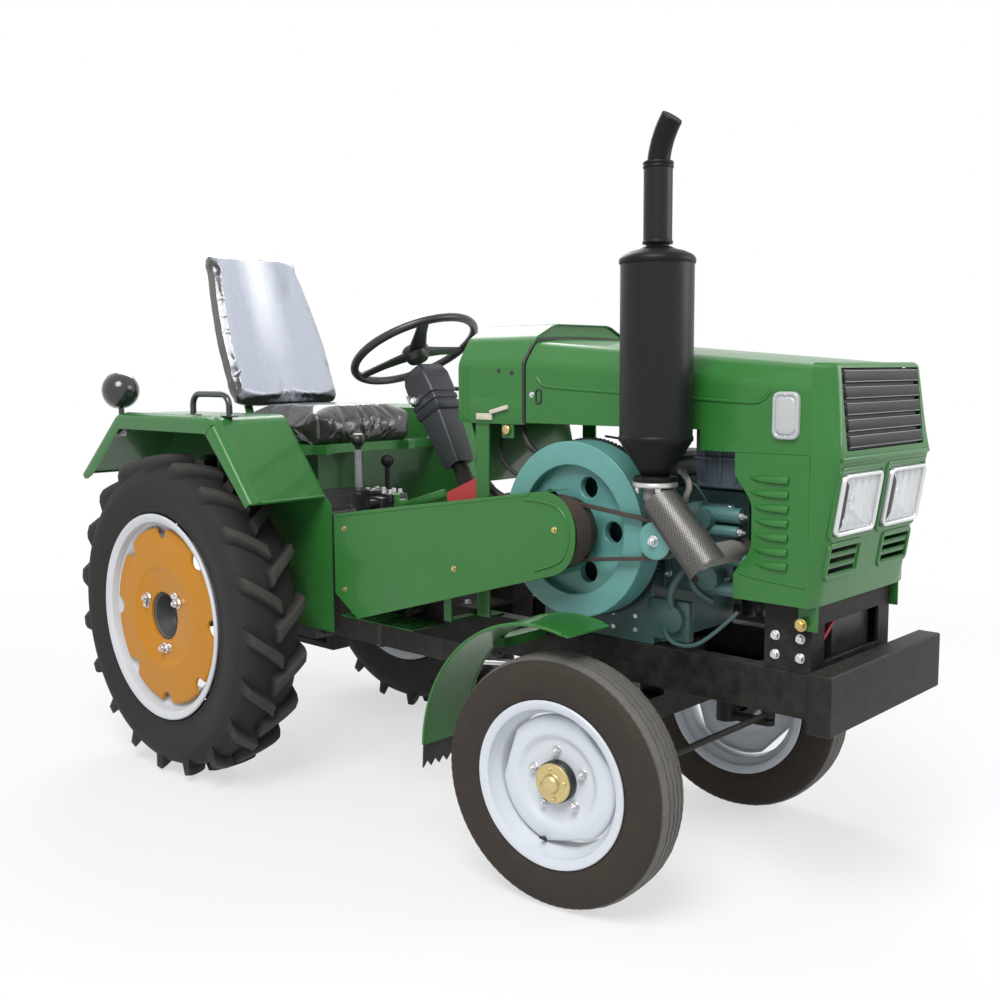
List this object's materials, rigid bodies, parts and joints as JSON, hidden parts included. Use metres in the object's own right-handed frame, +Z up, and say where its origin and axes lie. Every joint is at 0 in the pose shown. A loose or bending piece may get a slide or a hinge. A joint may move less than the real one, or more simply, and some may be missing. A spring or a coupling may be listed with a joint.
{
  "type": "farm tractor",
  "caption": "Small belt-drive farm tractor with an open seat, an upright muffler, a tilting hood, steered front wheels, large lugged rear wheels and a three-point hitch.",
  "frame": {"origin": "on the floor under the middle of the whole machine", "axes": "+X forward, +Y to the tractor's left, +Z up"},
  "size_m": [2.9, 1.276, 1.889],
  "materials": {
    "green_paint": "glossy mid-green enamel",
    "black_paint": "satin black paint",
    "teal_paint": "teal engine enamel over cast iron",
    "teal_iron": "teal engine enamel over cast iron",
    "grey_iron": "bare grey casting",
    "yellow_paint": "orange-yellow enamel",
    "white_paint": "white enamel",
    "tyre_rubber": "moulded black rubber",
    "belt_rubber": "black belt rubber",
    "bright_steel": "machined steel",
    "black_plastic": "grained black plastic",
    "grey_plastic": "grey-blue plastic",
    "black_vinyl": "black vinyl",
    "core_metal": "black-painted cooler core",
    "lamp_glass": "clear ribbed lens in a silver frame"
  },
  "bodies": {
    "chassis": {"frame": "black_paint", "front_bumper": "black_paint", "front_support": "black_paint", "front_axle": "black_paint", "steering_column": "black_paint", "transaxle": "grey_iron", "drawbar": "black_paint", "engine": "teal_iron", "drive_belts": "belt_rubber", "belt_cover": "green_paint", "air_cleaner": "grey_plastic", "exhaust_pipe": "grey_iron", "muffler": "black_paint", "radiator": "core_metal", "battery": "black_plastic", "cowl": "green_paint", "controls": "black_paint", "foot_platform": "green_paint", "right_fender": "green_paint", "left_fender": "green_paint", "grab_handles": "black_plastic", "rear_lamp": "black_plastic", "seat_frame": "green_paint", "seat_cushion": "black_vinyl", "seat_back": "black_vinyl", "front_mudguards": "green_paint"},
    "hood": {"bonnet": "green_paint", "front_mask": "green_paint", "grille": "black_plastic", "headlights": "lamp_glass", "side_panels": "green_paint"},
    "right_knuckle": {"right_knuckle": "black_paint"},
    "left_knuckle": {"left_knuckle": "black_paint"},
    "front_right_wheel": {"front_right_wheel": "white_paint", "front_right_tyre": "tyre_rubber"},
    "front_left_wheel": {"front_left_wheel": "white_paint", "front_left_tyre": "tyre_rubber"},
    "rear_right_wheel": {"rear_right_wheel": "yellow_paint", "rear_right_tyre": "tyre_rubber"},
    "rear_left_wheel": {"rear_left_wheel": "yellow_paint", "rear_left_tyre": "tyre_rubber"},
    "tie_rod": {"tie_rod": "black_paint"},
    "drag_link": {"drag_link": "bright_steel"},
    "pitman_arm": {"pitman_arm": "black_paint"},
    "steering_wheel": {"steering_wheel": "black_plastic"},
    "flywheel": {"flywheel": "teal_iron"},
    "generator_pulley": {"generator_pulley": "teal_paint"},
    "clutch_pulley": {"clutch_pulley": "grey_iron"},
    "lift_arms": {"lift_arms": "green_paint"},
    "lift_rods": {"lift_rods": "bright_steel"},
    "lower_links": {"lower_links": "green_paint"},
    "pto_shaft": {"pto_shaft": "bright_steel"}
  },
  "joints": [
    {"name": "right_steer", "type": "hinge", "parent": "chassis", "child": "right_knuckle", "pos_m": [0.808, -0.33, 0.41], "axis": [0, 0, 1], "range_deg": [-45, 31]},
    {"name": "left_steer", "type": "hinge", "parent": "chassis", "child": "left_knuckle", "pos_m": [0.808, 0.33, 0.41], "axis": [0, 0, 1], "range_deg": [-45, 31]},
    {"name": "pitman_swing", "type": "hinge", "parent": "chassis", "child": "pitman_arm", "pos_m": [0.253, 0, 0.55], "axis": [0, 0, 1], "range_deg": [-45, 31]},
    {"name": "drag_link_pivot", "type": "hinge", "parent": "pitman_arm", "child": "drag_link", "pos_m": [0.27737, -0.19851, 0.47], "axis": [0, 0, 1], "range_deg": [-31, 45]},
    {"name": "tie_rod_pivot", "type": "hinge", "parent": "right_knuckle", "child": "tie_rod", "pos_m": [0.93703, -0.31416, 0.322], "axis": [0, 0, 1], "range_deg": [-31, 45]},
    {"name": "steering_wheel_turn", "type": "hinge", "parent": "chassis", "child": "steering_wheel", "pos_m": [-0.15913, 0, 1.366], "axis": [-0.4848, 0, 0.8746], "range_deg": [-540, 372]},
    {"name": "front_right_spin", "type": "hinge", "parent": "right_knuckle", "child": "front_right_wheel", "pos_m": [0.82165, -0.44117, 0.314], "axis": [-0.1219, 0.9925, 0], "continuous": true},
    {"name": "front_left_spin", "type": "hinge", "parent": "left_knuckle", "child": "front_left_wheel", "pos_m": [0.79435, 0.44117, 0.314], "axis": [-0.1219, 0.9925, 0], "continuous": true},
    {"name": "rear_right_spin", "type": "hinge", "parent": "chassis", "child": "rear_right_wheel", "pos_m": [-0.722, -0.522, 0.525], "axis": [0, 1, 0], "continuous": true},
    {"name": "rear_left_spin", "type": "hinge", "parent": "chassis", "child": "rear_left_wheel", "pos_m": [-0.722, 0.522, 0.525], "axis": [0, 1, 0], "continuous": true},
    {"name": "hood_hinge", "type": "hinge", "parent": "chassis", "child": "hood", "pos_m": [1.338, 0, 0.738], "axis": [0, 1, 0], "range_deg": [0, 55]},
    {"name": "flywheel_spin", "type": "hinge", "parent": "chassis", "child": "flywheel", "pos_m": [0.733, -0.25, 0.908], "axis": [0, 1, 0], "continuous": true},
    {"name": "generator_pulley_spin", "type": "hinge", "parent": "chassis", "child": "generator_pulley", "pos_m": [1.013, -0.316, 0.91], "axis": [0, 1, 0], "continuous": true},
    {"name": "clutch_pulley_spin", "type": "hinge", "parent": "chassis", "child": "clutch_pulley", "pos_m": [0.053, -0.36, 0.757], "axis": [0, 1, 0], "continuous": true},
    {"name": "lift", "type": "hinge", "parent": "chassis", "child": "lift_arms", "pos_m": [-0.782, 0, 0.835], "axis": [0, 1, 0], "range_deg": [-22, 35]},
    {"name": "lower_links_swing", "type": "hinge", "parent": "chassis", "child": "lower_links", "pos_m": [-0.782, 0, 0.4], "axis": [0, 1, 0], "range_deg": [-22, 35]},
    {"name": "lift_rods_pivot", "type": "hinge", "parent": "lift_arms", "child": "lift_rods", "pos_m": [-1.062, 0, 0.835], "axis": [0, 1, 0], "range_deg": [-35, 22]},
    {"name": "pto_spin", "type": "hinge", "parent": "chassis", "child": "pto_shaft", "pos_m": [-0.922, 0, 0.56], "axis": [1, 0, 0], "continuous": true}
  ],
  "couplings": [
    {"joint": "left_steer", "follows": "right_steer", "ratio": 1},
    {"joint": "pitman_swing", "follows": "right_steer", "ratio": 1},
    {"joint": "drag_link_pivot", "follows": "right_steer", "ratio": -1},
    {"joint": "tie_rod_pivot", "follows": "right_steer", "ratio": -1},
    {"joint": "steering_wheel_turn", "follows": "right_steer", "ratio": 12},
    {"joint": "generator_pulley_spin", "follows": "flywheel_spin", "ratio": 1.7494},
    {"joint": "clutch_pulley_spin", "follows": "flywheel_spin", "ratio": 0.7601},
    {"joint": "lower_links_swing", "follows": "lift", "ratio": 1},
    {"joint": "lift_rods_pivot", "follows": "lift", "ratio": -1}
  ]
}
